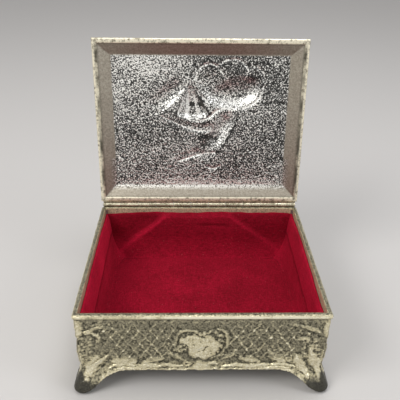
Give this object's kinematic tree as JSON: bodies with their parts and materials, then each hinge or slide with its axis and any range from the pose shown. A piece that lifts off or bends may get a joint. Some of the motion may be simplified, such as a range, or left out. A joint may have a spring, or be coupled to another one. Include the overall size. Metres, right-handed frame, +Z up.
{
  "type": "vanity trinket box",
  "caption": "Footed cast-metal trinket box with a hinged lid, a red velvet lining, flared feet and raised scroll ornament.",
  "frame": {"origin": "middle of the open object's bounding box, on the surface that the feet stand on", "axes": "+Z up, +X to the right along the box's front, +Y towards the hinge"},
  "size_m": [0.1318, 0.1252, 0.1551],
  "materials": {
    "plated_cast": "satin",
    "plated_lid": "satin",
    "hinge_metal": "satin",
    "pin_steel": "satin",
    "solder": "matte",
    "sheet_steel": "matte",
    "card": "matte",
    "wadding": "matte",
    "velvet": "matte"
  },
  "bodies": {
    "box": {"front_panel": "plated_cast", "back_panel": "plated_cast", "left_panel": "plated_cast", "right_panel": "plated_cast", "corner_solder": "solder", "bottom_plate": "sheet_steel", "floor_card": "card", "floor_wadding": "wadding", "floor_velvet": "velvet", "front_card": "card", "back_card": "card", "left_card": "card", "right_card": "card", "front_velvet": "velvet", "back_velvet": "velvet", "left_velvet": "velvet", "right_velvet": "velvet", "hinge_leaf_box": "hinge_metal", "hinge_pin": "pin_steel"},
    "lid": {"hinge_leaf_lid": "hinge_metal", "lid": "plated_lid"}
  },
  "joints": [
    {"name": "lid_hinge", "type": "hinge", "parent": "box", "child": "lid", "pos_m": [0, 0.04379, 0.052], "axis": [1, 0, 0], "range_deg": [0, 98]}
  ]
}
